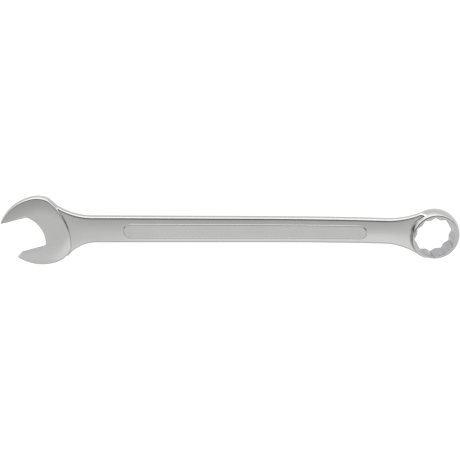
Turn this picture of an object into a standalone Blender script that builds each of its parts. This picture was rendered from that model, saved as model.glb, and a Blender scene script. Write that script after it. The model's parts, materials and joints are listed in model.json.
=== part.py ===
"""Combination wrench for 24 mm hexagons: one drop forging with an open end and a 12-point ring.

The wrench is modelled in its handle frame and then laid down at rest:
+X runs along the handle from the open end to the ring, +Z is up out of the face,
and y = 0, z = 0 is the middle of the handle at the open end.
The open end's own shape is drawn in a jaw frame: "along" runs out of the mouth and
"across" runs from the lower jaw to the upper one.
"""

import math

import bmesh
import bpy
from mathutils import Matrix, Vector

# Driving dimensions, in metres and degrees.
ACROSS_FLATS = 0.024
JAW_CLEARANCE = 0.0003
SOCKET_CLEARANCE = 0.0002

JAW_CENTRE = Vector((-0.1239, -0.0002))
JAW_ANGLE = math.radians(15)
UPPER_JAW, UPPER_JAW_RADIUS = Vector((0.0034, -0.0067)), 0.0312
LOWER_JAW, LOWER_JAW_RADIUS = Vector((0.0016, 0.0051)), 0.0294
HEAD_THICKNESS = 0.0084
HEAD_ROUNDING = 0.0021

HANDLE_WIDTH_AT_HEAD = 0.0190
HANDLE_WIDTH_AT_RING = 0.0179
HANDLE_THICKNESS = 0.0065
NECK_THICKNESS = 0.0062
HANDLE_ROUNDING = 0.0016
UPPER_HEAD_FLARE_START = -0.0920
UPPER_HEAD_FLARE_RADIUS = 0.042
LOWER_HEAD_FLARE_START = -0.0896
LOWER_HEAD_FLARE_RADIUS = 0.025
HEAD_FLARE_LIMIT = 0.0110
UPPER_RING_FLARE_RADIUS, UPPER_RING_FLARE_PAST = 0.055, 0.0018
LOWER_RING_FLARE_RADIUS, LOWER_RING_FLARE_PAST = 0.042, 0.0008
NECK_TURN, NECK_TURN_RADIUS = Vector((0.1280, -0.0024)), 0.0166
BOW_RISE = 0.0048
BOW_END = 0.122
BOW_STOP = 0.126
BOW_POWER = 3

PANEL_START = -0.0712
PANEL_END = 0.0920
PANEL_MIDDLE = -0.0005
PANEL_WIDTH_AT_HEAD = 0.0094
PANEL_WIDTH_AT_RING = 0.0086
PANEL_HEIGHT = 0.0008
PANEL_SLOPE = 0.0006

RING_CENTRE = Vector((0.1360, -0.0024, 0.0012))
RING_TILT = math.radians(15)
RING_RADIUS = 0.0166
RING_FACE_RADIUS = 0.0150
RING_THICKNESS = 0.0150
RING_STRETCH = 1.02
SOCKET_CENTRE = Vector((-0.00086, -0.00060))
SOCKET_TURN = math.radians(-2.3)
SOCKET_CHAMFER = 0.0003

HANDLE_START = -0.1190
HANDLE_END = 0.1350
NECK_START = 0.095
NECK_END = 0.125
HANDLE_STATIONS = 44
PANEL_STATIONS = 28
RING_STEPS = 48
ROUNDING_STEPS = 3
ARC_STEP = math.radians(6)


def arc(centre, radius, start, end, step=ARC_STEP):
    """Points on a circle from one angle to another, both ends included."""
    count = max(1, math.ceil(abs(end - start) / step))
    angles = [start + (end - start) * i / count for i in range(count + 1)]
    return [centre + radius * Vector((math.cos(a), math.sin(a))) for a in angles]


def angle_to(centre, point):
    """Angle, from 0 to a full turn, of a point seen from a centre."""
    offset = point - centre
    return math.atan2(offset.y, offset.x) % (2 * math.pi)


def circles_meet(centre_a, radius_a, centre_b, radius_b, side):
    """Where two circles cross: side 1 is on the left going from a to b, and -1 is on the right."""
    between = centre_b - centre_a
    gap = between.length
    along = (gap**2 + radius_a**2 - radius_b**2) / (2 * gap)
    off = math.sqrt(radius_a**2 - along**2)
    unit = between / gap
    return centre_a + unit * along + Vector((-unit.y, unit.x)) * off * side


def reach(centre, radius, across):
    """The point of a circle, on its mouth side, at a given distance across the jaws."""
    return Vector((centre.x + math.sqrt(radius**2 - (across - centre.y) ** 2), across))


def jaw_to_handle(point):
    """Turns a point of the jaw frame into the handle frame."""
    along = Vector((-math.cos(JAW_ANGLE), -math.sin(JAW_ANGLE)))
    across = Vector((-math.sin(JAW_ANGLE), math.cos(JAW_ANGLE)))
    return JAW_CENTRE + along * point.x + across * point.y


def head_outline():
    """The head without its mouth: two jaw arcs, two shoulder arcs and the arc of its step to the handle."""
    half_gap = (ACROSS_FLATS + JAW_CLEARANCE) / 2
    shoulder_angle, shoulder_radius = math.radians(93), 0.0170
    lean = Vector((math.cos(shoulder_angle), math.sin(shoulder_angle)))
    upper_shoulder = UPPER_JAW + lean * (UPPER_JAW_RADIUS - shoulder_radius)
    step, step_radius = Vector((0.0234, -0.0035)), 0.0398
    back_angle, back_radius = math.radians(268), 0.0202
    lean = Vector((math.cos(back_angle), math.sin(back_angle)))
    lower_back = LOWER_JAW + lean * (LOWER_JAW_RADIUS - back_radius)

    upper_tip = reach(UPPER_JAW, UPPER_JAW_RADIUS, half_gap - 0.0002)
    upper_corner = circles_meet(upper_shoulder, shoulder_radius, step, step_radius, 1)
    lower_corner = circles_meet(lower_back, back_radius, step, step_radius, -1)
    lower_tip = reach(LOWER_JAW, LOWER_JAW_RADIUS, 0.0002 - half_gap)

    points = arc(UPPER_JAW, UPPER_JAW_RADIUS, angle_to(UPPER_JAW, upper_tip), shoulder_angle)
    points += arc(upper_shoulder, shoulder_radius, shoulder_angle, angle_to(upper_shoulder, upper_corner))
    points += arc(step, step_radius, angle_to(step, upper_corner), angle_to(step, lower_corner))
    points += arc(lower_back, back_radius, angle_to(lower_back, lower_corner), back_angle)
    points += arc(LOWER_JAW, LOWER_JAW_RADIUS, back_angle, angle_to(LOWER_JAW, lower_tip))
    past_tips = 0.034
    points += [Vector((past_tips, lower_tip.y)), Vector((past_tips, upper_tip.y))]
    return [jaw_to_handle(p) for p in without_repeats(points)]


def without_repeats(points):
    """Drops each point that lies on the one before it, as where two arcs join."""
    nearest = 0.0002
    return [p for i, p in enumerate(points) if (p - points[i - 1]).length > nearest]


def mouth_outline():
    """The gap between the jaws: two flats, a throat arc, a rounded lower corner and the lower tip's chamfer."""
    half_gap = (ACROSS_FLATS + JAW_CLEARANCE) / 2
    throat, throat_radius = Vector((0.0207, -0.0032)), 0.0195
    corner_radius = 0.0048
    corner_across = -half_gap + corner_radius
    inside = throat_radius - corner_radius
    corner_along = throat.x - math.sqrt(inside**2 - (corner_across - throat.y) ** 2)
    corner = Vector((corner_along, corner_across))
    upper_start = Vector((throat.x - math.sqrt(throat_radius**2 - (half_gap - throat.y) ** 2), half_gap))
    touch = angle_to(throat, corner)
    past_tips = 0.045
    points = [Vector((past_tips, half_gap))]
    points += arc(throat, throat_radius, angle_to(throat, upper_start), touch)
    points += arc(corner, corner_radius, touch, 1.5 * math.pi, 2 * ARC_STEP)[1:]
    points += [Vector((0.0208, -half_gap)), Vector((0.0313, -0.0174)), Vector((past_tips, -0.0174))]
    return [jaw_to_handle(p) for p in points]


def bow(x):
    """Height of the handle's middle, which climbs ever faster towards the ring."""
    return BOW_RISE * (min(max(x, 0.0), BOW_STOP) / BOW_END) ** BOW_POWER


def blend(x, start, end):
    """A share from 0 to 1 that eases in and out between two stations."""
    share = min(max((x - start) / (end - start), 0.0), 1.0)
    return share * share * (3 - 2 * share)


def straight_half_width(x):
    """Half the width of the handle between its two flares."""
    widest, narrowest = -0.090, 0.100
    share = min(max((x - widest) / (narrowest - widest), 0.0), 1.0)
    return (HANDLE_WIDTH_AT_HEAD + (HANDLE_WIDTH_AT_RING - HANDLE_WIDTH_AT_HEAD) * share) / 2


def head_flare(x, start, radius):
    """How much an edge has swept out towards the head, along an arc."""
    run = min(max(start - x, 0.0), 0.99 * radius)
    return min(radius - math.sqrt(radius**2 - run**2), HEAD_FLARE_LIMIT)


def ring_flare(x, radius, past, side):
    """How much an edge has swept out towards the ring, along an arc that meets a circle just outside it."""
    aim = RING_RADIUS + past
    to_edge = HANDLE_WIDTH_AT_RING / 2 - side * RING_CENTRE.y + radius
    whole_run = math.sqrt((radius + aim) ** 2 - to_edge**2)
    run = min(max(x - RING_CENTRE.x + whole_run, 0.0), whole_run * radius / (radius + aim))
    return radius - math.sqrt(radius**2 - run**2)


def neck_limit(x, side):
    """How far out the neck may reach where it turns in over the ring."""
    past = max(x - NECK_TURN.x, 0.0)
    return math.sqrt(NECK_TURN_RADIUS**2 - past**2) + side * NECK_TURN.y


def rounded_section(x, low, high, middle, thickness, rounding):
    """One cross-section of a bar: a rectangle whose sides are rounded off."""
    half = thickness / 2
    # Each side is half an ellipse, in seven points from the upper face to the lower one.
    turns = [math.radians(90 - 30 * i) for i in range(7)]
    right = [(high - rounding + rounding * math.cos(a), half * math.sin(a)) for a in turns]
    left = [(low + rounding - rounding * math.cos(a), half * math.sin(a)) for a in reversed(turns)]
    return [Vector((x, y, middle + z)) for y, z in right + left]


def handle_sections():
    """Cross-sections of the handle, from inside the head to inside the ring."""
    sections = []
    for i in range(HANDLE_STATIONS + 1):
        x = HANDLE_START + (HANDLE_END - HANDLE_START) * i / HANDLE_STATIONS
        half = straight_half_width(x)
        upper_flare = head_flare(x, UPPER_HEAD_FLARE_START, UPPER_HEAD_FLARE_RADIUS)
        lower_flare = head_flare(x, LOWER_HEAD_FLARE_START, LOWER_HEAD_FLARE_RADIUS)
        high = half + upper_flare + ring_flare(x, UPPER_RING_FLARE_RADIUS, UPPER_RING_FLARE_PAST, 1)
        low = half + lower_flare + ring_flare(x, LOWER_RING_FLARE_RADIUS, LOWER_RING_FLARE_PAST, -1)
        if x > NECK_TURN.x:
            high, low = min(high, neck_limit(x, 1)), min(low, neck_limit(x, -1))
        thicker = (NECK_THICKNESS - HANDLE_THICKNESS) * blend(x, NECK_START, NECK_END)
        sections.append(
            rounded_section(x, -low, high, bow(x), HANDLE_THICKNESS + thicker, HANDLE_ROUNDING)
        )
    return sections


def panel_half_width(x, grow):
    """Half the width of the raised panel, whose two ends are half circles."""
    share = (x - PANEL_START) / (PANEL_END - PANEL_START)
    half = (PANEL_WIDTH_AT_HEAD + (PANEL_WIDTH_AT_RING - PANEL_WIDTH_AT_HEAD) * share) / 2
    from_end = min(x - PANEL_START, PANEL_END - x)
    into_round = max(half - from_end, 0.0)
    return math.sqrt(max(half**2 - into_round**2, 0.0)) + grow


def new_mesh(name, build):
    """An object whose mesh is filled in by a function that is given a bmesh."""
    mesh = bpy.data.meshes.new(name)
    shape = bmesh.new()
    build(shape)
    bmesh.ops.recalc_face_normals(shape, faces=shape.faces)
    shape.to_mesh(mesh)
    shape.free()
    made = bpy.data.objects.new(name, mesh)
    bpy.context.scene.collection.objects.link(made)
    return made


def extrude(shape, outline, low, high):
    """A prism on an outline, from one height to another."""
    base = shape.faces.new([shape.verts.new((p.x, p.y, low)) for p in outline])
    pulled = bmesh.ops.extrude_face_region(shape, geom=[base])["geom"]
    raised = [v for v in pulled if isinstance(v, bmesh.types.BMVert)]
    bmesh.ops.translate(shape, verts=raised, vec=(0, 0, high - low))


def loft(shape, sections):
    """A skin over a row of cross-sections, with a flat cap at each end."""
    rings = [[shape.verts.new(p) for p in section] for section in sections]
    count = len(rings[0])
    for near, far in zip(rings, rings[1:]):
        for i in range(count):
            j = (i + 1) % count
            shape.faces.new((near[i], near[j], far[j], far[i]))
    shape.faces.new(rings[0])
    shape.faces.new(list(reversed(rings[-1])))


def make_head():
    """The open end's thick plate, its edges rounded, before the mouth is cut."""

    def build(shape):
        extrude(shape, head_outline(), -HEAD_THICKNESS / 2, HEAD_THICKNESS / 2)
        rim = [e for e in shape.edges if abs(e.verts[0].co.z - e.verts[1].co.z) < 1e-6]
        bmesh.ops.bevel(
            shape, geom=rim, offset=HEAD_ROUNDING, segments=ROUNDING_STEPS, profile=0.5, affect="EDGES"
        )

    return new_mesh("wrench_forging", build)


def make_handle():
    """The handle as one loft, with its flares towards the head and the ring."""
    return new_mesh("handle_shape", lambda shape: loft(shape, handle_sections()))


def make_panel():
    """The raised panel of both faces as one slab through the handle, bowed like it, with sloping sides."""
    face = HANDLE_THICKNESS / 2
    layers = [
        (face + PANEL_HEIGHT, 0.0),
        (face - PANEL_SLOPE / 2, PANEL_SLOPE),
        (-face + PANEL_SLOPE / 2, PANEL_SLOPE),
        (-face - PANEL_HEIGHT, 0.0),
    ]
    blunt = 0.0004
    sections = []
    for i in range(PANEL_STATIONS + 1):
        # Stations crowd towards both ends, where the outline turns.
        share = (1 - math.cos(math.pi * i / PANEL_STATIONS)) / 2
        x = PANEL_START + blunt + (PANEL_END - PANEL_START - 2 * blunt) * share
        right = [(panel_half_width(x, grow), z) for z, grow in layers]
        left = [(-y, z) for y, z in reversed(right)]
        sections.append([Vector((x, PANEL_MIDDLE + y, bow(x) + z)) for y, z in right + left])
    return new_mesh("panel_shape", lambda shape: loft(shape, sections))


def make_ring():
    """The ring's outer barrel, spun about its axis, before the socket is cut."""
    half = RING_THICKNESS / 2
    bulge = RING_RADIUS - RING_FACE_RADIUS
    crown = (bulge**2 + half**2) / (2 * bulge)
    sweep = math.asin(half / crown)
    steps = 6
    profile = [Vector((0, 0, -half))]
    for i in range(steps + 1):
        turn = sweep * (2 * i / steps - 1)
        profile.append(Vector((RING_RADIUS - crown + crown * math.cos(turn), 0, crown * math.sin(turn))))
    profile.append(Vector((0, 0, half)))

    def build(shape):
        verts = [shape.verts.new(p) for p in profile]
        edges = [shape.edges.new(pair) for pair in zip(verts, verts[1:])]
        whole = verts + edges
        turn = 2 * math.pi
        bmesh.ops.spin(shape, geom=whole, axis=(0, 0, 1), cent=(0, 0, 0), angle=turn, steps=RING_STEPS)
        bmesh.ops.remove_doubles(shape, verts=shape.verts, dist=1e-6)

    return new_mesh("ring_shape", build)


def star(radius_grow):
    """Twelve points: two hexagons across the same flats, one turned by 30 degrees."""
    half = (ACROSS_FLATS + SOCKET_CLEARANCE) / 2
    outer, inner = half / math.cos(math.radians(30)), half / math.cos(math.radians(15))
    points = []
    for i in range(24):
        radius = (inner if i % 2 else outer) + radius_grow
        angle = math.radians(15 * i)
        points.append(Vector((radius * math.cos(angle), radius * math.sin(angle))))
    return points


def make_socket_cutter():
    """A 12-point prism that opens out into a lead-in chamfer at each face of the ring."""
    half = RING_THICKNESS / 2
    past = 0.002
    levels = [
        (-half - past, SOCKET_CHAMFER + past),
        (-half + SOCKET_CHAMFER, 0.0),
        (half - SOCKET_CHAMFER, 0.0),
        (half + past, SOCKET_CHAMFER + past),
    ]
    sections = [[Vector((p.x, p.y, z)) for p in star(grow)] for z, grow in levels]
    return new_mesh("socket_cutter", lambda shape: loft(shape, sections))


def make_mouth_cutter():
    """A prism of the mouth's outline, taller than the head."""
    deep = HEAD_THICKNESS
    return new_mesh("mouth_cutter", lambda shape: extrude(shape, mouth_outline(), -deep, deep))


def combine(target, tool, operation):
    """Adds or cuts a helper shape with a Boolean, and keeps the helper out of the finished object."""
    tool.hide_render = True
    tool.display_type = "WIRE"
    modifier = target.modifiers.new(tool.name, "BOOLEAN")
    modifier.operation = operation
    modifier.object = tool
    modifier.solver = "EXACT"


def satin_chrome():
    material = bpy.data.materials.new("satin_chrome")
    material.use_nodes = True
    shader = material.node_tree.nodes["Principled BSDF"]
    shader.inputs["Base Color"].default_value = (0.56, 0.56, 0.54, 1)
    shader.inputs["Metallic"].default_value = 1.0
    shader.inputs["Roughness"].default_value = 0.32
    return material


def rest_angle():
    """How far the handle leans when the upper jaw's tip and the ring's far lower rim touch the bench."""
    half = RING_THICKNESS / 2
    rim = RING_FACE_RADIUS * RING_STRETCH
    rim_x = RING_CENTRE.x + rim * math.cos(RING_TILT) - half * math.sin(RING_TILT)
    rim_z = RING_CENTRE.z - rim * math.sin(RING_TILT) - half * math.cos(RING_TILT)
    tip_x = jaw_to_handle(reach(UPPER_JAW, UPPER_JAW_RADIUS, ACROSS_FLATS / 2)).x + HEAD_ROUNDING
    return math.atan2(-HEAD_THICKNESS / 2 - rim_z, rim_x - tip_x)


def lay_down(wrench, helpers):
    """Leans everything to its rest angle, then puts the origin under the middle of the wrench's box."""
    rest = bpy.data.objects.new("at_rest", None)
    bpy.context.scene.collection.objects.link(rest)
    rest.rotation_euler = (0, -rest_angle(), 0)
    for piece in [wrench, *helpers]:
        piece.parent = rest
    bpy.context.view_layer.update()
    graph = bpy.context.evaluated_depsgraph_get()
    evaluated = wrench.evaluated_get(graph)
    points = [wrench.matrix_world @ v.co for v in evaluated.to_mesh().vertices]
    middle_x = (min(p.x for p in points) + max(p.x for p in points)) / 2
    middle_y = (min(p.y for p in points) + max(p.y for p in points)) / 2
    evaluated.to_mesh_clear()
    rest.location = (-middle_x, -middle_y, -min(p.z for p in points))


def main():
    for old in list(bpy.data.objects):
        bpy.data.objects.remove(old)
    wrench = make_head()
    handle, panel, ring = make_handle(), make_panel(), make_ring()
    mouth, socket = make_mouth_cutter(), make_socket_cutter()
    tilt = Matrix.Translation(RING_CENTRE) @ Matrix.Rotation(RING_TILT, 4, "Y")
    ring.data.transform(Matrix.Diagonal((RING_STRETCH, 1, 1, 1)))
    socket.data.transform(Matrix.Translation((*SOCKET_CENTRE, 0)) @ Matrix.Rotation(SOCKET_TURN, 4, "Z"))
    ring.matrix_world = tilt
    socket.matrix_world = tilt
    combine(wrench, handle, "UNION")
    combine(wrench, panel, "UNION")
    combine(wrench, ring, "UNION")
    combine(wrench, mouth, "DIFFERENCE")
    combine(wrench, socket, "DIFFERENCE")
    wrench.data.materials.append(satin_chrome())
    wrench.data.shade_smooth()
    wrench.data.set_sharp_from_angle(angle=math.radians(35))
    lay_down(wrench, [handle, panel, ring, mouth, socket])


main()
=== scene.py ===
"""Looks of the combination wrench: one smooth forging in satin chrome, lit on a pale floor.

The forging is modelled in its handle frame, in metres: +X runs along the handle from the open end to
the ring, +Z is up out of the face, and y = 0, z = 0 is the middle of the handle at the open end.
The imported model's mounts say where that frame is. The open end is drawn in a jaw frame: "along" runs
out of the mouth and "across" runs from the lower jaw to the upper one.

The head, the handle and the ring are one field, negative inside the steel, which a net of quads is pulled
onto. Booleans then cut the 12-point socket, its lead-ins, the jaw's bevels and the mouth.
"""

import json
import math

import bmesh
import bpy
import numpy as np
from mathutils import Matrix, Vector


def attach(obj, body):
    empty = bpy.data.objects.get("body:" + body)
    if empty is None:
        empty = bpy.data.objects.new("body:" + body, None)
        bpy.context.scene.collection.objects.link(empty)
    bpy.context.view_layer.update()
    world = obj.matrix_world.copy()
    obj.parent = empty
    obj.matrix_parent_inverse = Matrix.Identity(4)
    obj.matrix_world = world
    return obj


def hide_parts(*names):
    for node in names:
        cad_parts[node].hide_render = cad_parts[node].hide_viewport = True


# Driving dimensions, in metres.
ACROSS_FLATS = 0.024
JAW_GAP = ACROSS_FLATS + 0.0003
SOCKET_FLATS = ACROSS_FLATS + 0.0002

JAW_CENTRE = Vector((-0.1239, -0.0002))
JAW_ANGLE = math.radians(15)
UPPER_JAW, UPPER_JAW_RADIUS = Vector((0.0034, -0.0067)), 0.03118
LOWER_JAW, LOWER_JAW_RADIUS = Vector((0.0016, 0.0051)), 0.0294
HEAD_THICKNESS = 0.0084
HEAD_SIDE_CROWN, HEAD_STEP_CROWN = 0.0051, 0.0078
HEAD_CROWN_CHANGE = 0.006
HEAD_DOME_WIDTH = 0.0125
HEAD_DOME_DROP = 0.0011
HEAD_RIM_ROUND = 0.0003
HEAD_FACE_MARK = Vector((-0.115689, 0.002, HEAD_THICKNESS / 2))
JAW_BEVEL_RUN = 0.0016
JAW_BEVEL_DROP = 0.00035
JAW_BEVEL_START = 0.0090
PAST_JAW_TIPS = 0.0450

HANDLE_START = -0.1165
HANDLE_END = 0.1340
HANDLE_WIDTH_AT_HEAD = 0.0190
HANDLE_WIDTH_AT_RING = 0.0179
HANDLE_THICKNESS = 0.0065
HANDLE_CROWN = 0.00050
NECK_START, NECK_END, NECK_THICKNESS = 0.095, 0.125, 0.0062
HANDLE_BULGE = 0.0004
HANDLE_CORNER = 0.00030
UPPER_HEAD_FLARE_START = -0.0920
UPPER_HEAD_FLARE_RADIUS = 0.042
LOWER_HEAD_FLARE_START = -0.0896
LOWER_HEAD_FLARE_RADIUS = 0.025
UPPER_HEAD_FLARE_LIMIT = 0.0100
LOWER_HEAD_FLARE_LIMIT = 0.0095
UPPER_RING_FLARE_RADIUS, UPPER_RING_FLARE_PAST = 0.055, 0.0018
LOWER_RING_FLARE_RADIUS, LOWER_RING_FLARE_PAST = 0.042, 0.0003
NECK_TURN, NECK_TURN_RADIUS = Vector((0.1245, -0.0024)), 0.0166
BOW_RISE = 0.0048
BOW_END = 0.122
BOW_STOP = 0.126
HEAD_FILLET = 0.00025

PANEL_START = -0.0712
PANEL_END = 0.0920
PANEL_WIDTH_AT_HEAD = 0.0102
PANEL_WIDTH_AT_RING = 0.0094
PANEL_MIDDLE = -0.0005
PANEL_HEIGHT = 0.0009
PANEL_SIDE, PANEL_SIDE_HEIGHT = 0.00048, 0.00066
PANEL_EDGE = 0.00095
PANEL_CROWN = 0.0002

RING_CENTRE = Vector((0.1360, -0.0024, 0.0012))
RING_TILT = math.radians(15)
RING_RADIUS = 0.01656
RING_FACE_RADIUS = 0.0150
RING_THICKNESS = 0.0150
RING_STRETCH = 1.02
RING_RIM_ROUND = 0.0006
RING_FILLET = 0.0006
SOCKET_CENTRE = Vector((-0.00086, -0.00060))
SOCKET_TURN = math.radians(-2.3)
SOCKET_LEAD_RADIUS = 0.0130
SOCKET_LEAD_DEPTH = 0.00025

# How many straight pieces the arcs of the head, the mouth, its corner and the lead-ins are drawn in.
LONG_ARC, MIDDLE_ARC, SHORT_ARC = 60, 36, 30
CORNER_ARC = 16
LEAD_IN_STEPS = 180
# Faces that meet at more than this stay sharp.
SHARP_ANGLE = math.radians(38)

# The net's spacing along x, wide where the shape only runs on and fine where it turns.
NET_STRETCHES = [
    (-0.1602, -0.0860, 0.00036),
    (-0.0860, -0.0730, 0.0006),
    (-0.0730, -0.0640, 0.00025),
    (-0.0640, 0.0850, 0.0015),
    (0.0850, 0.0935, 0.00025),
    (0.0935, 0.1130, 0.0006),
    (0.1130, 0.1542, 0.00036),
]
# Its spacing along y, fine along the panel's two long edges.
NET_ROWS = [
    (-0.0262, -0.0058, 0.00028),
    (-0.0058, -0.0036, 0.00014),
    (-0.0036, 0.0026, 0.00028),
    (0.0026, 0.0048, 0.00014),
    (0.0048, 0.0246, 0.00028),
]
# Its spacing along z, measured from the bowed middle of the handle, fine at the faces' rims.
NET_LEVELS = [
    (-0.0161, -0.0044, 0.00026),
    (-0.0044, -0.0024, 0.00013),
    (-0.0024, 0.0024, 0.00026),
    (0.0024, 0.0044, 0.00013),
    (0.0044, 0.0083, 0.00026),
]

# The camera, seen from the handle frame.
CAMERA_AZIMUTH = math.radians(6)
CAMERA_TILT = math.radians(19.5)
CAMERA_DISTANCE = 3.0
FRAMED_WIDTH = 0.306
CAMERA_AIM = 0.00057
CAMERA_ROLL = math.radians(0.1)
SENSOR_WIDTH = 36.0
VIEW_DEPTH = 20

# The soft box and the dome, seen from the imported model. A stop is an angle from straight up, negative
# on the side away from the camera, and how bright the dome is there.
LAMP_SIZE, LAMP_WATTS = (0.19, 0.18), 0.034
LAMP_STAND, LAMP_AIM = Vector((-0.063, -0.300, 0.532)), Vector((0, 0, 0.012))
SKY_BRIGHTEST = 2.0
SKY_STOPS = [(-100, 0.74), (-60, 0.86), (-32, 1.20), (-19.5, 1.12), (-9.5, 0.82), (0, 0.66)]
SKY_STOPS += [(14, 0.32), (24, 0.17), (62, 0.17), (80, 2.0)]

# The floor's half width and its glow: even everywhere, plus the product of a rise past the wrench's ends
# and a rise on the camera's side. Each rise is a start, an end and the values there.
FLOOR_REACH = 4.0
FLOOR_GLOW = 1.0
ENDS_GLOW = (0.085, 0.125, 0.5, 1.0)
SIDE_GLOW = (0.022, 0.055, 0.0, 1.1)


def arc(centre, radius, start, end, count):
    """Points on a circle from one angle to another, both ends included."""
    angles = [start + (end - start) * i / count for i in range(count + 1)]
    return [centre + radius * Vector((math.cos(a), math.sin(a))) for a in angles]


def angle_to(centre, point):
    """Angle, from 0 to a full turn, of a point seen from a centre."""
    offset = point - centre
    return math.atan2(offset.y, offset.x) % (2 * math.pi)


def circles_meet(centre_a, radius_a, centre_b, radius_b, side):
    """Where two circles cross: side 1 is on the left going from a to b, and -1 is on the right."""
    between = centre_b - centre_a
    gap = between.length
    along = (gap**2 + radius_a**2 - radius_b**2) / (2 * gap)
    off = math.sqrt(radius_a**2 - along**2)
    unit = between / gap
    return centre_a + unit * along + Vector((-unit.y, unit.x)) * off * side


def reach(centre, radius, across):
    """The point of a circle, on its mouth side, at a given distance across the jaws."""
    return Vector((centre.x + math.sqrt(radius**2 - (across - centre.y) ** 2), across))


def jaw_to_handle(point):
    """Turns a point of the jaw frame into the handle frame."""
    along = Vector((-math.cos(JAW_ANGLE), -math.sin(JAW_ANGLE)))
    across = Vector((-math.sin(JAW_ANGLE), math.cos(JAW_ANGLE)))
    return JAW_CENTRE + along * point.x + across * point.y


def head_outline():
    """The head without its mouth: two jaw arcs, two shoulder arcs and the arc of its step to the handle."""
    shoulder_angle, shoulder_radius = math.radians(93), 0.0170
    lean = Vector((math.cos(shoulder_angle), math.sin(shoulder_angle)))
    upper_shoulder = UPPER_JAW + lean * (UPPER_JAW_RADIUS - shoulder_radius)
    step, step_radius = Vector((0.0234, -0.0035)), 0.0398
    back_angle, back_radius = math.radians(268), 0.0202
    lean = Vector((math.cos(back_angle), math.sin(back_angle)))
    lower_back = LOWER_JAW + lean * (LOWER_JAW_RADIUS - back_radius)

    inside_mouth = 0.0002
    upper_tip = reach(UPPER_JAW, UPPER_JAW_RADIUS, JAW_GAP / 2 - inside_mouth)
    upper_corner = circles_meet(upper_shoulder, shoulder_radius, step, step_radius, 1)
    lower_corner = circles_meet(lower_back, back_radius, step, step_radius, -1)
    lower_tip = reach(LOWER_JAW, LOWER_JAW_RADIUS, inside_mouth - JAW_GAP / 2)

    points = arc(UPPER_JAW, UPPER_JAW_RADIUS, angle_to(UPPER_JAW, upper_tip), shoulder_angle, MIDDLE_ARC)
    turn = angle_to(upper_shoulder, upper_corner)
    points += arc(upper_shoulder, shoulder_radius, shoulder_angle, turn, SHORT_ARC)[1:]
    turn = angle_to(step, lower_corner)
    points += arc(step, step_radius, angle_to(step, upper_corner), turn, SHORT_ARC)[1:]
    turn = angle_to(lower_back, lower_corner)
    points += arc(lower_back, back_radius, turn, back_angle, SHORT_ARC)[1:]
    turn = angle_to(LOWER_JAW, lower_tip)
    points += arc(LOWER_JAW, LOWER_JAW_RADIUS, back_angle, turn, MIDDLE_ARC)[1:]
    past_tips = 0.034
    points += [Vector((past_tips, lower_tip.y)), Vector((past_tips, upper_tip.y))]
    return [jaw_to_handle(p) for p in points]


def mouth_outline():
    """The gap between the jaws: two flats, a throat arc, a rounded corner and the lower tip's chamfer."""
    chamfer_start, chamfer_end = 0.0208, Vector((0.0313, -0.0174))
    half_gap = JAW_GAP / 2
    throat, throat_radius = Vector((0.0207, -0.0032)), 0.0195
    corner_radius = 0.0048
    corner_across = corner_radius - half_gap
    inside = throat_radius - corner_radius
    corner_along = throat.x - math.sqrt(inside**2 - (corner_across - throat.y) ** 2)
    corner = Vector((corner_along, corner_across))
    upper_start = Vector((throat.x - math.sqrt(throat_radius**2 - (half_gap - throat.y) ** 2), half_gap))
    touch = angle_to(throat, corner)
    points = [Vector((PAST_JAW_TIPS, half_gap))]
    points += arc(throat, throat_radius, angle_to(throat, upper_start), touch, LONG_ARC)
    points += arc(corner, corner_radius, touch, 1.5 * math.pi, CORNER_ARC)[1:]
    points += [Vector((chamfer_start, -half_gap)), chamfer_end, Vector((PAST_JAW_TIPS, chamfer_end.y))]
    return [jaw_to_handle(p) for p in points]


def outline_distance(x, y, outline):
    """Signed distance, negative inside, from points to a closed outline."""
    best = np.full(x.shape, np.inf)
    inside = np.zeros(x.shape, bool)
    for near, far in zip(outline, outline[1:] + outline[:1]):
        edge = far - near
        share = ((x - near.x) * edge.x + (y - near.y) * edge.y) / edge.length_squared
        share = np.clip(share, 0, 1)
        off = (x - near.x - share * edge.x) ** 2 + (y - near.y - share * edge.y) ** 2
        best = np.minimum(best, off)
        if near.y != far.y:
            level = (near.y > y) != (far.y > y)
            inside ^= level & (x < near.x + (y - near.y) / edge.y * edge.x)
    return np.where(inside, -1, 1) * np.sqrt(best)


def smooth_max(a, b, width):
    """The larger of two distances, rounded off where they differ by less than a width."""
    share = np.clip(0.5 + 0.5 * (a - b) / width, 0, 1)
    return b + (a - b) * share + width * share * (1 - share)


def smooth_min(a, b, width):
    """The smaller of two distances, filleted where they differ by less than a width."""
    return -smooth_max(-a, -b, width)


def bow(x):
    """Height of the handle's middle, which climbs ever faster towards the ring."""
    return BOW_RISE * (np.clip(x, 0, BOW_STOP) / BOW_END) ** 3


def blend(x, start, end):
    """A share from 0 to 1 that eases in and out between two stations."""
    share = np.clip((x - start) / (end - start), 0, 1)
    return share * share * (3 - 2 * share)


def head_flare(x, start, radius, limit):
    """How much an edge has swept out towards the head, along an arc."""
    run = np.clip(start - x, 0, 0.99 * radius)
    return np.minimum(radius - np.sqrt(radius**2 - run**2), limit)


def ring_flare(x, radius, past, side):
    """How much an edge has swept out towards the ring: an arc, then a circle just outside the ring's."""
    aim = RING_RADIUS + past
    to_edge = HANDLE_WIDTH_AT_RING / 2 - side * RING_CENTRE.y + radius
    whole_run = math.sqrt((radius + aim) ** 2 - to_edge**2)
    arc_run = whole_run * radius / (radius + aim)
    run = np.clip(x - RING_CENTRE.x + whole_run, 0, arc_run)
    short = np.minimum(np.abs(x - RING_CENTRE.x), whole_run - arc_run)
    on_circle = np.sqrt(aim**2 - short**2) + side * RING_CENTRE.y - HANDLE_WIDTH_AT_RING / 2
    return np.where(run < arc_run, radius - np.sqrt(radius**2 - run**2), on_circle)


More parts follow.
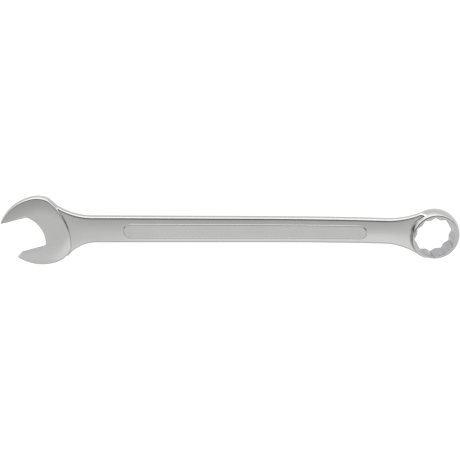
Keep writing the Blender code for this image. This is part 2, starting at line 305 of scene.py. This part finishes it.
def within_neck(x, edge, side):
    """An edge of the handle, held back where the neck turns in over the ring."""
    past = np.clip(x - NECK_TURN.x, 0, 0.99 * NECK_TURN_RADIUS)
    limit = np.sqrt(NECK_TURN_RADIUS**2 - past**2) + side * NECK_TURN.y
    return np.where(x > NECK_TURN.x, np.minimum(edge, limit), edge)


def panel_taper(x):
    """The panel's width at a station, as a share of its width at the head."""
    share = np.clip((x - PANEL_START) / (PANEL_END - PANEL_START), 0, 1)
    return 1 + (PANEL_WIDTH_AT_RING / PANEL_WIDTH_AT_HEAD - 1) * share


def panel_rise(x, y):
    """Height of the raised panel over the handle's face: a steep side, an easing slope, a crowned top."""
    end_radius = PANEL_WIDTH_AT_HEAD / 2
    along = np.clip(x, PANEL_START + end_radius, PANEL_END - end_radius)
    half = PANEL_WIDTH_AT_HEAD / 2 * panel_taper(along)
    inwards = half - np.hypot(x - along, y - PANEL_MIDDLE)
    side = np.clip(inwards / PANEL_SIDE, 0, 1)
    top = np.clip((inwards - PANEL_SIDE) / PANEL_EDGE, 0, 1)
    top_rise = (PANEL_HEIGHT - PANEL_SIDE_HEIGHT) * top * (2 - top)
    return PANEL_SIDE_HEIGHT * side + top_rise - PANEL_CROWN * top * ((y - PANEL_MIDDLE) / half) ** 2


def handle_field(x, y, z):
    """The bowed handle with its panels and both flares: bulging sides between two slightly crowned faces."""
    widest, narrowest = -0.090, 0.100
    share = np.clip((x - widest) / (narrowest - widest), 0, 1)
    half = (HANDLE_WIDTH_AT_HEAD + (HANDLE_WIDTH_AT_RING - HANDLE_WIDTH_AT_HEAD) * share) / 2
    high = half + head_flare(x, UPPER_HEAD_FLARE_START, UPPER_HEAD_FLARE_RADIUS, UPPER_HEAD_FLARE_LIMIT)
    high = high + ring_flare(x, UPPER_RING_FLARE_RADIUS, UPPER_RING_FLARE_PAST, 1)
    low = half + head_flare(x, LOWER_HEAD_FLARE_START, LOWER_HEAD_FLARE_RADIUS, LOWER_HEAD_FLARE_LIMIT)
    low = low + ring_flare(x, LOWER_RING_FLARE_RADIUS, LOWER_RING_FLARE_PAST, -1)
    high, low = within_neck(x, high, 1), within_neck(x, low, -1)
    half = (high + low) / 2
    across = np.abs(y - (high - low) / 2)
    thickness = HANDLE_THICKNESS + (NECK_THICKNESS - HANDLE_THICKNESS) * blend(x, NECK_START, NECK_END)
    up = z - bow(x)
    bulge = thickness / 2 + HANDLE_BULGE
    side = np.hypot(np.maximum(across - half + bulge, 0), up) - bulge
    face = np.abs(up) - thickness / 2 + HANDLE_CROWN * np.minimum(across / half, 1) ** 2 - panel_rise(x, y)
    body = smooth_max(side, face, HANDLE_CORNER)
    return np.maximum(body, np.maximum(HANDLE_START - x, x - HANDLE_END))


def jaw_depth(x, y):
    """How far inside the jaws' two long arcs a point is."""
    upper, lower = jaw_to_handle(UPPER_JAW), jaw_to_handle(LOWER_JAW)
    in_upper = UPPER_JAW_RADIUS - np.hypot(x - upper.x, y - upper.y)
    return np.minimum(in_upper, LOWER_JAW_RADIUS - np.hypot(x - lower.x, y - lower.y))


def head_field(edge, depth, z):
    """The open end's plate: its side is crowned, and its faces fall away a little along the jaws' backs."""
    past_face = 0.0045
    crown = HEAD_SIDE_CROWN + (HEAD_STEP_CROWN - HEAD_SIDE_CROWN) * np.clip(depth / HEAD_CROWN_CHANGE, 0, 1)
    side = edge + crown - np.sqrt(crown**2 - np.minimum(np.abs(z), past_face) ** 2)
    fall = np.clip(1 - depth / HEAD_DOME_WIDTH, 0, 1) ** 2
    face = np.abs(z) - HEAD_THICKNESS / 2 + HEAD_DOME_DROP * fall
    return smooth_max(side, face, HEAD_RIM_ROUND)


def ring_field(x, y, z):
    """The ring as a solid barrel: a crowned wall between two flat faces, all tilted off the handle."""
    x, y, z = x - RING_CENTRE.x, y - RING_CENTRE.y, z - RING_CENTRE.z
    cos, sin = math.cos(RING_TILT), math.sin(RING_TILT)
    across, along = np.hypot((x * cos - z * sin) / RING_STRETCH, y), x * sin + z * cos
    half = RING_THICKNESS / 2
    bulge = RING_RADIUS - RING_FACE_RADIUS
    crown = (bulge**2 + half**2) / (2 * bulge)
    wall = np.hypot(np.maximum(across - RING_RADIUS + crown, 0), along) - crown
    return smooth_max(wall, np.abs(along) - half, RING_RIM_ROUND)


def body_field(x, y, z, edge):
    """The whole forging before its mouth and socket are cut, with a fillet at each end of the handle."""
    body = smooth_min(head_field(edge, jaw_depth(x, y), z), handle_field(x, y, z), HEAD_FILLET)
    return smooth_min(body, ring_field(x, y, z), RING_FILLET)


def head_edge(x, y):
    """Distance in plan to the head's outline, worked out only where the head is near."""
    far_off, right_of_head = 0.05, -0.085
    edge = np.full(x.shape, far_off)
    near = x < right_of_head
    edge[near] = outline_distance(x[near], y[near], head_outline())
    return edge


def field_at(points):
    """The field at loose points, one a row."""
    x, y, z = points.T
    return body_field(x, y, z, head_edge(x, y))


def net_points(values, axes):
    """A net of quads on a field's zero level: a point in each crossed cell, a quad at each crossed edge."""
    shape = values.shape
    total = np.zeros((values.size, 3))
    count = np.zeros(values.size)
    quads = []
    for axis in range(3):
        near = np.moveaxis(values, axis, 0)[:-1]
        far = np.moveaxis(values, axis, 0)[1:]
        found = np.argwhere((near < 0) != (far < 0))
        start, end = near[tuple(found.T)], far[tuple(found.T)]
        others = [a for a in range(3) if a != axis]
        at = np.empty_like(found)
        at[:, axis] = found[:, 0]
        at[:, others] = found[:, 1:]
        point = np.stack([axes[a][at[:, a]] for a in range(3)], axis=1)
        step = axes[axis][at[:, axis] + 1] - axes[axis][at[:, axis]]
        point[:, axis] += step * start / (start - end)
        corners = []
        for back_u, back_v in ((0, 0), (1, 0), (1, 1), (0, 1)):
            cell = at.copy()
            cell[:, (axis + 1) % 3] -= back_u
            cell[:, (axis + 2) % 3] -= back_v
            flat = np.ravel_multi_index(cell.T, shape)
            corners.append(flat)
            count += np.bincount(flat, minlength=values.size)
            for a in range(3):
                total[:, a] += np.bincount(flat, weights=point[:, a], minlength=values.size)
        quad = np.stack(corners, axis=1)
        quads.append(np.where((start < 0)[:, None], quad, quad[:, ::-1]))
    used = np.flatnonzero(count)
    number = np.zeros(values.size, int)
    number[used] = np.arange(len(used))
    return total[used] / count[used, None], number[np.concatenate(quads)]


def onto_surface(points, rounds=4):
    """Moves points down the field's slope until they lie on its zero level."""
    nudge, farthest, flattest = 1e-6, 0.0002, 0.05
    for _ in range(rounds):
        value = field_at(points)
        slope = np.empty_like(points)
        for a in range(3):
            step = np.zeros(3)
            step[a] = nudge
            slope[:, a] = (field_at(points + step) - field_at(points - step)) / (2 * nudge)
        steep = np.maximum((slope**2).sum(axis=1), flattest)
        move = np.clip(value / steep, -farthest, farthest)
        points = points - move[:, None] * slope
    return points


def stretch(start, end, step):
    """Evenly spaced stations from a start up to, but not on, an end."""
    count = max(1, round((end - start) / step))
    return start + (end - start) * np.arange(count) / count


def make_body():
    """The whole forging as one closed mesh, before anything is cut."""
    xs = np.concatenate([stretch(*s) for s in NET_STRETCHES] + [[NET_STRETCHES[-1][1]]])
    ys = np.concatenate([stretch(*s) for s in NET_ROWS])
    zs = np.concatenate([stretch(*s) for s in NET_LEVELS])
    # The net follows the handle's bow and the panel's taper, so that its rows run along the long edges.
    x, y = np.meshgrid(xs, ys, indexing="ij")
    y = PANEL_MIDDLE + (y - PANEL_MIDDLE) * panel_taper(x)
    z = zs[None, None, :] + bow(x)[:, :, None]
    values = body_field(x[:, :, None], y[:, :, None], z, head_edge(x, y)[:, :, None])
    points, quads = net_points(values, (xs, ys, zs))
    points[:, 1] = PANEL_MIDDLE + (points[:, 1] - PANEL_MIDDLE) * panel_taper(points[:, 0])
    points[:, 2] += bow(points[:, 0])
    mesh = bpy.data.meshes.new("wrench")
    mesh.from_pydata(onto_surface(points).tolist(), [], quads.tolist())
    made = bpy.data.objects.new("wrench", mesh)
    bpy.context.scene.collection.objects.link(made)
    return made


def new_mesh(name, build):
    """An object whose mesh is filled in by a function that is given a bmesh."""
    mesh = bpy.data.meshes.new(name)
    shape = bmesh.new()
    build(shape)
    bmesh.ops.recalc_face_normals(shape, faces=shape.faces)
    shape.to_mesh(mesh)
    shape.free()
    made = bpy.data.objects.new(name, mesh)
    bpy.context.scene.collection.objects.link(made)
    return made


def loft(shape, sections):
    """A skin over a row of cross-sections, with a flat cap at each end."""
    rings = [[shape.verts.new(p) for p in section] for section in sections]
    count = len(rings[0])
    for near, far in zip(rings, rings[1:]):
        for i in range(count):
            j = (i + 1) % count
            shape.faces.new((near[i], near[j], far[j], far[i]))
    shape.faces.new(rings[0])
    shape.faces.new(list(reversed(rings[-1])))


def turned(shape, profile, steps):
    """A solid spun from a profile that starts and ends on the axis."""
    verts = [shape.verts.new((p.x, 0, p.y)) for p in profile]
    edges = [shape.edges.new(pair) for pair in zip(verts, verts[1:])]
    whole = verts + edges
    turn = 2 * math.pi
    bmesh.ops.spin(shape, geom=whole, axis=(0, 0, 1), cent=(0, 0, 0), angle=turn, steps=steps)
    bmesh.ops.remove_doubles(shape, verts=shape.verts, dist=1e-6)


def socket_matrix():
    """Where the socket lies in the handle frame: a little off the ring's centre, and turned in it."""
    tilt = Matrix.Translation(RING_CENTRE) @ Matrix.Rotation(RING_TILT, 4, "Y")
    return tilt @ Matrix.Translation((*SOCKET_CENTRE, 0)) @ Matrix.Rotation(SOCKET_TURN, 4, "Z")


def make_socket_cutter():
    """A 12-point prism: two hexagons across the same flats, one turned by 30 degrees."""
    half = SOCKET_FLATS / 2
    outer, inner = half / math.cos(math.radians(30)), half / math.cos(math.radians(15))
    star = []
    for i in range(24):
        radius, turn = inner if i % 2 else outer, math.radians(15 * i)
        star.append((radius * math.cos(turn), radius * math.sin(turn)))
    deep = RING_THICKNESS
    sections = [[Vector((x, y, z)) for x, y in star] for z in (-deep, deep)]
    return new_mesh("socket_cutter", lambda shape: loft(shape, sections))


def make_lead_in(side):
    """A cone that opens the socket out at one face."""
    half = RING_THICKNESS / 2
    past = 0.001
    slope = (SOCKET_LEAD_RADIUS - SOCKET_FLATS / 2) / SOCKET_LEAD_DEPTH
    wide = SOCKET_LEAD_RADIUS + past * slope
    narrow = SOCKET_FLATS / 2
    levels = [half - SOCKET_LEAD_DEPTH, half - SOCKET_LEAD_DEPTH, half + past, half + past]
    profile = [Vector((r, side * z)) for r, z in zip((0, narrow, wide, 0), levels)]
    return new_mesh("lead_in_cutter", lambda shape: turned(shape, profile, LEAD_IN_STEPS))


def make_mouth_cutter():
    """The mouth's outline as a prism."""
    deep = HEAD_THICKNESS
    sections = [[Vector((p.x, p.y, z)) for p in mouth_outline()] for z in (-deep, deep)]
    return new_mesh("mouth_cutter", lambda shape: loft(shape, sections))


def make_jaw_bevel(side):
    """A wedge that bevels the upper jaw's flat where it meets one face."""
    half = HEAD_THICKNESS / 2
    flat = JAW_GAP / 2
    slope = JAW_BEVEL_RUN / JAW_BEVEL_DROP
    past = 0.001
    corners = [
        (flat - past, half - JAW_BEVEL_DROP - past / slope),
        (flat + JAW_BEVEL_RUN + past * slope, half + past),
        (flat - past, half + past),
    ]
    sections = []
    for along in (JAW_BEVEL_START, PAST_JAW_TIPS):
        points = [(jaw_to_handle(Vector((along, across))), up) for across, up in corners]
        sections.append([Vector((p.x, p.y, side * up)) for p, up in points])
    return new_mesh("jaw_bevel_cutter", lambda shape: loft(shape, sections))


def cut(target, tool):
    """Cuts a helper shape out of the target's mesh and removes the helper."""
    modifier = target.modifiers.new(tool.name, "BOOLEAN")
    modifier.operation = "DIFFERENCE"
    modifier.object = tool
    modifier.solver = "MANIFOLD"
    graph = bpy.context.evaluated_depsgraph_get()
    result = bpy.data.meshes.new_from_object(target.evaluated_get(graph))
    target.modifiers.clear()
    target.data = result
    bpy.data.objects.remove(tool)


def handle_matrix(record):
    """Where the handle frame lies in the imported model, from the mount on the head's face."""
    mount = next(m for m in record["mounts"] if m["name"] == "head_top_face")
    up = Vector(mount["axis"]).normalized()
    along = Vector((up.z, 0, -up.x))
    turn = Matrix((along, Vector((0, 1, 0)), up)).transposed()
    origin = Vector(mount["pos_m"]) - turn @ HEAD_FACE_MARK
    return Matrix.Translation(origin) @ turn.to_4x4()


def cut_faces_painted_shade(mesh):
    """Which faces a broach or a mill has left bare: the socket's walls and the inside of the mouth, which
    take the darker material as painted shade.
    """
    centre, normal = np.empty(3 * len(mesh.polygons)), np.empty(3 * len(mesh.polygons))
    mesh.polygons.foreach_get("center", centre)
    mesh.polygons.foreach_get("normal", normal)
    centre, normal = centre.reshape(-1, 3), normal.reshape(-1, 3)
    turn = np.array(socket_matrix().inverted())
    inside = centre @ turn[:3, :3].T + turn[:3, 3]
    facing = normal @ turn[:3, :3].T
    socket_reach, right_of_mouth, on_outline, upright = 0.01402, -0.09, 5e-5, 0.2
    socket = (np.hypot(inside[:, 0], inside[:, 1]) < socket_reach) & (np.abs(facing[:, 2]) < upright)
    mouth = np.zeros(len(centre), bool)
    near = (centre[:, 0] < right_of_mouth) & (np.abs(normal[:, 2]) < upright)
    off = outline_distance(centre[near, 0], centre[near, 1], mouth_outline())
    mouth[near] = np.abs(off) < on_outline
    return socket | mouth


def make_wrench(placed):
    """The finished forging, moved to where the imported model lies."""
    wrench = make_body()
    socket = make_socket_cutter()
    leads = [make_lead_in(1), make_lead_in(-1)]
    for piece in (socket, *leads):
        piece.matrix_world = socket_matrix()
    bpy.context.view_layer.update()
    for cutter in (socket, *leads, make_jaw_bevel(1), make_jaw_bevel(-1), make_mouth_cutter()):
        cut(wrench, cutter)
    wrench.data.materials.clear()
    wrench.data.materials.append(satin_chrome())
    wrench.data.materials.append(cut_steel_painted_shade())
    # The socket's and the mouth's walls take the darker material: painted shade in these recesses.
    wrench.data.polygons.foreach_set("material_index", cut_faces_painted_shade(wrench.data).astype(np.int32))
    wrench.data.transform(placed)
    wrench.data.shade_smooth()
    wrench.data.set_sharp_from_angle(angle=SHARP_ANGLE)
    return wrench


class Finish:
    """Shorthand for a metal's nodes, all of them placed by the object's own coordinates."""

    def __init__(self, name):
        self.material = bpy.data.materials.new(name)
        self.material.use_nodes = True
        self.nodes, self.links = self.material.node_tree.nodes, self.material.node_tree.links
        self.shader = self.nodes["Principled BSDF"]
        self.shader.inputs["Metallic"].default_value = 1.0
        self.place = self.nodes.new("ShaderNodeTexCoord").outputs["Object"]

    def noise(self, scale, detail, stretch=(1, 1, 1)):
        spread = self.nodes.new("ShaderNodeMapping")
        spread.inputs["Scale"].default_value = stretch
        self.links.new(self.place, spread.inputs["Vector"])
        made = self.nodes.new("ShaderNodeTexNoise")
        made.inputs["Scale"].default_value = scale
        made.inputs["Detail"].default_value = detail
        self.links.new(spread.outputs["Vector"], made.inputs["Vector"])
        return made.outputs["Fac"]

    def between(self, value, low, high):
        made = self.nodes.new("ShaderNodeMapRange")
        made.inputs["To Min"].default_value = low
        made.inputs["To Max"].default_value = high
        self.links.new(value, made.inputs["Value"])
        return made.outputs["Result"]

    def add(self, a, b):
        made = self.nodes.new("ShaderNodeMath")
        made.operation = "ADD"
        self.links.new(a, made.inputs[0])
        self.links.new(b, made.inputs[1])
        return made.outputs[0]

    def tint(self, value, dark, light):
        made = self.nodes.new("ShaderNodeMix")
        made.data_type = "RGBA"
        made.inputs["A"].default_value = (*dark, 1)
        made.inputs["B"].default_value = (*light, 1)
        self.links.new(value, made.inputs["Factor"])
        self.links.new(made.outputs["Result"], self.shader.inputs["Base Color"])

    def bump(self, height, strength, distance):
        made = self.nodes.new("ShaderNodeBump")
        made.inputs["Strength"].default_value = strength
        made.inputs["Distance"].default_value = distance
        self.links.new(height, made.inputs["Height"])
        self.links.new(made.outputs["Normal"], self.shader.inputs["Normal"])


def satin_chrome():
    """Bead-blasted chrome: a fine even grain, broad faint shifts in gloss and tint, and a soft sheen."""
    metal = Finish("satin_chrome")
    cloud = metal.noise(60, 4)
    grain = metal.noise(5200, 2)
    metal.tint(cloud, (0.410, 0.414, 0.398), (0.452, 0.452, 0.442))
    roughness = metal.add(metal.between(cloud, 0.07, 0.12), metal.between(grain, 0.02, 0.12))
    metal.links.new(roughness, metal.shader.inputs["Roughness"])
    metal.bump(grain, 0.10, 0.00004)
    return metal.material


def cut_steel_painted_shade():
    """The cut walls: darker than the outside, which is painted shade in the socket and the mouth, and
    duller, with fine lines left by the tool.
    """
    metal = Finish("cut_steel_painted_shade")
    cloud = metal.noise(140, 3)
    lines = metal.noise(900, 3, (1, 1, 9))
    # The darker tint is painted shade for the socket and the mouth; the dullness and tool lines are the cut
    # finish.
    metal.tint(cloud, (0.300, 0.300, 0.318), (0.385, 0.385, 0.410))
    roughness = metal.add(metal.between(cloud, 0.12, 0.20), metal.between(lines, 0.06, 0.20))
    metal.links.new(roughness, metal.shader.inputs["Roughness"])
    metal.bump(lines, 0.18, 0.00008)
    return metal.material


def make_floor():
    """A wide pale sheet that glows like a light table, most on the camera's side and past both ends."""

    def build(shape):
        bmesh.ops.create_grid(shape, x_segments=1, y_segments=1, size=FLOOR_REACH)

    floor = new_mesh("floor", build)
    material = bpy.data.materials.new("floor")
    material.use_nodes = True
    nodes, links = material.node_tree.nodes, material.node_tree.links
    shader = nodes["Principled BSDF"]
    shader.inputs["Base Color"].default_value = (0.25, 0.25, 0.25, 1)
    shader.inputs["Roughness"].default_value = 0.15
    shader.inputs["Emission Color"].default_value = (0.985, 0.98, 1.0, 1)
    place = nodes.new("ShaderNodeTexCoord")
    split = nodes.new("ShaderNodeSeparateXYZ")
    links.new(place.outputs["Object"], split.inputs[0])

    def eased(value, start, end, low, high):
        made = nodes.new("ShaderNodeMapRange")
        made.interpolation_type = "SMOOTHSTEP"
        for name, number in zip(("From Min", "From Max", "To Min", "To Max"), (start, end, low, high)):
            made.inputs[name].default_value = number
        links.new(value, made.inputs["Value"])
        return made.outputs["Result"]

    def maths(operation, *values):
        made = nodes.new("ShaderNodeMath")
        made.operation = operation
        for value, socket in zip(values, made.inputs):
            links.new(value, socket)
        return made.outputs[0]

    ends = eased(maths("ABSOLUTE", split.outputs["X"]), *ENDS_GLOW)
    glow = maths("MULTIPLY", ends, eased(split.outputs["Y"], *SIDE_GLOW))
    strength = nodes.new("ShaderNodeMath")
    strength.inputs[1].default_value = FLOOR_GLOW
    links.new(glow, strength.inputs[0])
    links.new(strength.outputs[0], shader.inputs["Emission Strength"])
    floor.data.materials.append(material)


def make_sky():
    """The studio as a dome: soft light across from the camera, dark behind it, bright low on its side."""
    world = bpy.data.worlds.new("studio")
    bpy.context.scene.world = world
    world.use_nodes = True
    nodes, links = world.node_tree.nodes, world.node_tree.links
    background = nodes["Background"]
    place = nodes.new("ShaderNodeTexCoord")
    split = nodes.new("ShaderNodeSeparateXYZ")
    links.new(place.outputs["Generated"], split.inputs[0])

    lean = nodes.new("ShaderNodeMath")
    lean.operation = "ARCTAN2"
    links.new(split.outputs["Y"], lean.inputs[0])
    links.new(split.outputs["Z"], lean.inputs[1])
    share = nodes.new("ShaderNodeMapRange")
    share.inputs["From Min"].default_value = -math.pi
    share.inputs["From Max"].default_value = math.pi
    links.new(lean.outputs[0], share.inputs["Value"])

    ramp = nodes.new("ShaderNodeValToRGB")
    ramp.color_ramp.interpolation = "LINEAR"
    marks = ramp.color_ramp.elements
    while len(marks) < len(SKY_STOPS):
        marks.new(0.5)
    for mark, (degrees, value) in zip(marks, SKY_STOPS):
        mark.position = 0.5 + degrees / 360
        tone = value / SKY_BRIGHTEST
        mark.color = (tone, tone, tone, 1)
    links.new(share.outputs["Result"], ramp.inputs["Fac"])
    links.new(ramp.outputs["Color"], background.inputs["Color"])
    background.inputs["Strength"].default_value = SKY_BRIGHTEST


def make_lamp():
    """A small soft box across from the camera, which the middle of the handle mirrors."""
    data = bpy.data.lights.new("soft_box", "AREA")
    data.shape = "RECTANGLE"
    data.size, data.size_y = LAMP_SIZE
    data.energy = LAMP_WATTS
    lamp = bpy.data.objects.new("soft_box", data)
    bpy.context.scene.collection.objects.link(lamp)
    turn = (LAMP_STAND - LAMP_AIM).to_track_quat("Z", "Y").to_matrix()
    lamp.matrix_world = Matrix.Translation(LAMP_STAND) @ turn.to_4x4()


def make_camera(placed):
    """A long lens above the wrench, leaning to its upper side, with the whole wrench across the picture."""
    back = Vector((math.sin(CAMERA_AZIMUTH), math.cos(CAMERA_AZIMUTH) * math.sin(CAMERA_TILT), 0))
    back.z = math.cos(CAMERA_AZIMUTH) * math.cos(CAMERA_TILT)
    level = (Vector((1, 0, 0)) - back * back.x).normalized()
    rise = back.cross(level)
    right = level * math.cos(CAMERA_ROLL) + rise * math.sin(CAMERA_ROLL)
    up = rise * math.cos(CAMERA_ROLL) - level * math.sin(CAMERA_ROLL)
    turn = Matrix((right, up, back)).transposed().to_4x4()
    data = bpy.data.cameras.new("camera")
    data.sensor_width = SENSOR_WIDTH
    data.lens = SENSOR_WIDTH * CAMERA_DISTANCE / FRAMED_WIDTH
    data.clip_end = VIEW_DEPTH
    camera = bpy.data.objects.new("camera", data)
    bpy.context.scene.collection.objects.link(camera)
    stand = Matrix.Translation(back * CAMERA_DISTANCE - up * CAMERA_AIM)
    camera.matrix_world = placed @ stand @ turn
    bpy.context.scene.camera = camera


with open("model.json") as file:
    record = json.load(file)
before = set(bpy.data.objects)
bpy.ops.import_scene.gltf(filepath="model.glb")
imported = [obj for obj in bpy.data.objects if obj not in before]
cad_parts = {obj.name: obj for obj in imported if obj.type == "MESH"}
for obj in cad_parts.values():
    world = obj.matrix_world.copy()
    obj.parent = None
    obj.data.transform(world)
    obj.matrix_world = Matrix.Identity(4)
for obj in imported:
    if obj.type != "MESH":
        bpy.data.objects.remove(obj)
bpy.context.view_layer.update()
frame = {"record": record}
placed = handle_matrix(frame["record"])

wrench = make_wrench(placed)
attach(wrench, "root")
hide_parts("wrench_forging")

make_floor()
make_sky()
make_lamp()
make_camera(placed)
bpy.context.scene.view_settings.view_transform = "Standard"
